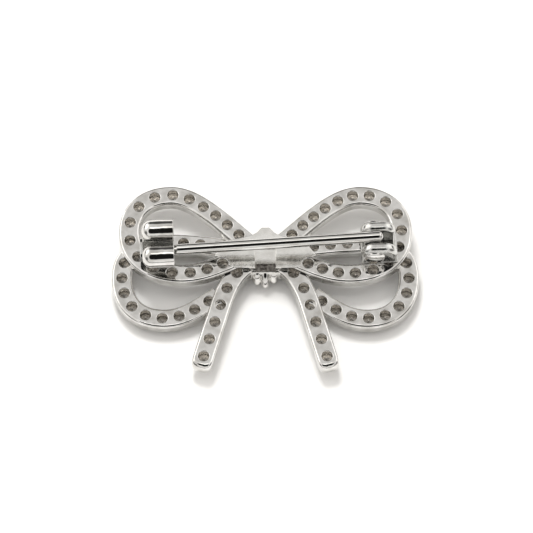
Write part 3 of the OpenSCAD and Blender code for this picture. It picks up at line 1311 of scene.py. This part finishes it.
class Brilliant:
    """A round brilliant, table down: flat facets, a thin girdle and a pointed pavilion."""

    RADIUS = 0.75
    CROWN = 0.2
    GIRDLE = 0.1
    PAVILION = 0.63

    def build(self) -> bpy.types.Object:
        """Build one stone at the origin.

        Returns:
            A flat-shaded stone, its table at height 0.
        """
        r = self.RADIUS
        top = self.CROWN + self.GIRDLE
        rings = (
            (8, 0.57 * r, 0.0, 0.5),
            (8, 0.80 * r, 0.1, 0.0),
            (16, r, self.CROWN, 0.0),
            (16, r, top, 0.0),
            (8, 0.55 * r, top + 0.27, 0.5),
        )
        draft = bmesh.new()
        for count, radius, height, shift in rings:
            for i in range(count):
                angle = math.tau * (i + shift) / count
                draft.verts.new((radius * math.cos(angle), radius * math.sin(angle), height))
        draft.verts.new((0, 0, top + self.PAVILION))
        bmesh.ops.convex_hull(draft, input=draft.verts)
        bmesh.ops.dissolve_limit(
            draft, angle_limit=math.radians(2), verts=draft.verts, edges=draft.edges
        )
        return mesh_piece("cut_stone", draft, smooth=False)


class Settings(Fitting):
    """The stones behind the holes, and the grains that hold them."""

    SLOT = Slot.STONES
    GRAIN_R = 0.13
    STONE_SIZE = {"Size": 1.0, "Spread": 0.0}
    GRAIN_SIZE = {"Size": 0.95, "Spread": 0.1}

    def build(self, bow: Bow, glass: bpy.types.Material, metal: bpy.types.Material) -> None:
        """Set a stone at every seat, and grains between them, each tree giving the finish.

        Args:
            bow: The built bow.
            glass: The stones' finish.
            metal: The grains' finish.
        """
        stone = Brilliant().build()
        ball = bmesh.new()
        bmesh.ops.create_icosphere(ball, subdivisions=1, radius=self.GRAIN_R)
        grain = mesh_piece("grain", ball)
        stone_tree = scatter_tree("stones_on_seats")
        grain_tree = scatter_tree("grains_between_stones")
        for label, seats in bow.seats.items():
            piece = points_piece(f"set_stones_{label}", seats)
            grow(piece, stone_tree, {"Shape": stone, "Finish": glass, **self.STONE_SIZE})
            self.keep(piece, f"stones_{label}")
            held = points_piece(f"grains_{label}", bow.gaps[label])
            grow(held, grain_tree, {"Shape": grain, "Finish": metal, **self.GRAIN_SIZE})
            self.keep(held, None, Slot.RIBBONS)
        for helper in (stone, grain):
            bpy.data.objects.remove(helper)


# ---------------------------------------------------------------- studio


def toward(azimuth: float, elevation: float) -> Vector:
    """A direction: azimuth 0 is the camera's side, 90 the right, 180 behind the bow."""
    a, e = math.radians(azimuth), math.radians(elevation)
    return Vector((math.sin(a) * math.cos(e), -math.cos(a) * math.cos(e), math.sin(e)))


@dataclass(frozen=True)
class SkyPatch:
    """A soft round patch of the tent round the brooch."""

    azimuth: float
    elevation: float
    inner: float
    outer: float
    brightness: float


class Studio:
    """A white tent with a dark opening for the camera, a paper floor and soft lights.

    Each patch gives its azimuth, its elevation, the angles at which it fades, and its light.
    """

    BASE = 1.0
    PATCHES = (
        SkyPatch(0, -90, 92, 98, 0.05),
        SkyPatch(122, 32, 14, 30, 1.5),
        SkyPatch(-122, 32, 14, 30, 2.0),
        SkyPatch(180, 24, 9, 27, 0.08),
        SkyPatch(178, 61, 4, 19, 0.76),
        SkyPatch(180, 86, 6, 11, 2.0),
        SkyPatch(0, 62, 24, 31, 0.012),
        SkyPatch(70, 20, 12, 26, 0.15),
        SkyPatch(-62, 16, 10, 24, 0.2),
        SkyPatch(118, 4, 8, 18, 0.06),
        SkyPatch(-118, 4, 8, 18, 0.06),
    )
    TARGET = Vector((0.12, 1.66, 2.0))
    ELEVATION = 62.0
    FIELD_MM = 58.57
    DISTANCE_MM = 500.0
    SENSOR = 36.0

    LAMPS_AT_MM = 420
    FLOOR_MM = 900
    FLOOR_GAP = 0.01

    def build(self) -> None:
        """Build the tent, the floor, the lights and the camera."""
        self._tent()
        self._floor()
        self._light("front_soft", toward(-20, 64), 240, 0.15)
        self._light("back_soft", toward(-168, 57), 130, 1.15)
        self._camera()

    def _aim(self, name: str, data: bpy.types.ID, way: Vector, far: float) -> bpy.types.Object:
        """An object that looks at the brooch from a direction and a distance."""
        holder = bpy.data.objects.new(name, data)
        holder.location = (self.TARGET + way * far) * MM
        holder.rotation_euler = way.to_track_quat("Z", "Y").to_euler()
        bpy.context.scene.collection.objects.link(holder)
        return holder

    def _tent(self) -> None:
        """A world whose brightness depends on the direction only."""
        world = bpy.data.worlds.new("white_tent")
        world.use_nodes = True
        tree = world.node_tree
        tree.nodes.clear()
        look = add_node(tree, "ShaderNodeTexCoord").outputs["Generated"]
        level: object = self.BASE
        for patch in self.PATCHES:
            facing = {0: look, 1: toward(patch.azimuth, patch.elevation)}
            near = add_node(tree, "ShaderNodeVectorMath", facing, operation="DOT_PRODUCT")
            share = add_node(
                tree,
                "ShaderNodeMapRange",
                {
                    "Value": near.outputs["Value"],
                    "From Min": math.cos(math.radians(patch.outer)),
                    "From Max": math.cos(math.radians(patch.inner)),
                },
                interpolation_type="SMOOTHSTEP",
            )
            mix = {0: share.outputs[0], 2: level, 3: patch.brightness}
            level = add_node(tree, "ShaderNodeMix", mix).outputs[0]
        back = add_node(tree, "ShaderNodeBackground", {"Color": srgb("#fffdfa"), "Strength": level})
        add_node(tree, "ShaderNodeOutputWorld", {"Surface": back.outputs[0]})
        bpy.context.scene.world = world

    def _floor(self) -> None:
        """A wide sheet of paper just under the knot."""
        draft = bmesh.new()
        bmesh.ops.create_grid(draft, x_segments=1, y_segments=1, size=self.FLOOR_MM)
        bmesh.ops.translate(draft, vec=(0, 0, -self.FLOOR_GAP), verts=draft.verts)
        floor = mesh_piece("paper_floor", draft)
        wear(floor, MattePaper().make())

    def _light(self, name: str, way: Vector, size: float, power: float) -> None:
        """A square soft light aimed at the brooch.

        Args:
            name: The light's name.
            way: Direction from the brooch to it.
            size: Its side in millimetres.
            power: Watts.
        """
        lamp = bpy.data.lights.new(name, "AREA")
        lamp.size = size * MM
        lamp.energy = power
        # The metal mirrors the tent alone; the lamps only light the paper.
        self._aim(name, lamp, way, self.LAMPS_AT_MM).visible_glossy = False

    def _camera(self) -> None:
        """A long lens at the elevation the brooch is looked at from."""
        camera = bpy.data.cameras.new("camera")
        camera.lens = self.SENSOR * self.DISTANCE_MM / self.FIELD_MM
        camera.sensor_width = self.SENSOR
        camera.clip_start = 0.01
        camera.clip_end = 10.0
        camera.dof.use_dof = False
        holder = self._aim("camera", camera, toward(0, self.ELEVATION), self.DISTANCE_MM)
        bpy.context.scene.camera = holder
        bpy.context.scene.view_settings.view_transform = "Standard"


# ---------------------------------------------------------------- the whole


def main() -> None:
    """Build the brooch, dress it and light it."""
    logging.basicConfig(level=logging.INFO)
    layout = Layout.from_frame()
    polished, tumbled, satin = POLISHED.make(), TUMBLED.make(), SATIN.make()
    solder_shade, wall_shade, drawn = SOLDER_AND_SHADE.make(), HOLE_WALL_SHADE.make(), DRAWN.make()
    bow = Bow(layout)
    bow.build()
    # The holes' walls and the ribbons' sides take metals painted dark as shade.
    bow.dress(polished, wall_shade, SIDE_SHADE.make())
    plate = BackPlate(layout)
    plate.build()
    plate.dress(satin, solder_shade)
    knot = Knot(layout)
    knot.build()
    knot.dress(polished, satin)
    catch = Catch(layout)
    catch.build()
    catch.dress(polished, tumbled)
    hinge = Hinge(layout)
    hinge.build()
    hinge.dress(tumbled, polished)
    pin = Pin(layout)
    pin.build()
    pin.dress(drawn, tumbled)
    Settings(layout).build(bow, CubicZirconia().make(), tumbled)
    Studio().build()


if __name__ == "__main__":
    main()
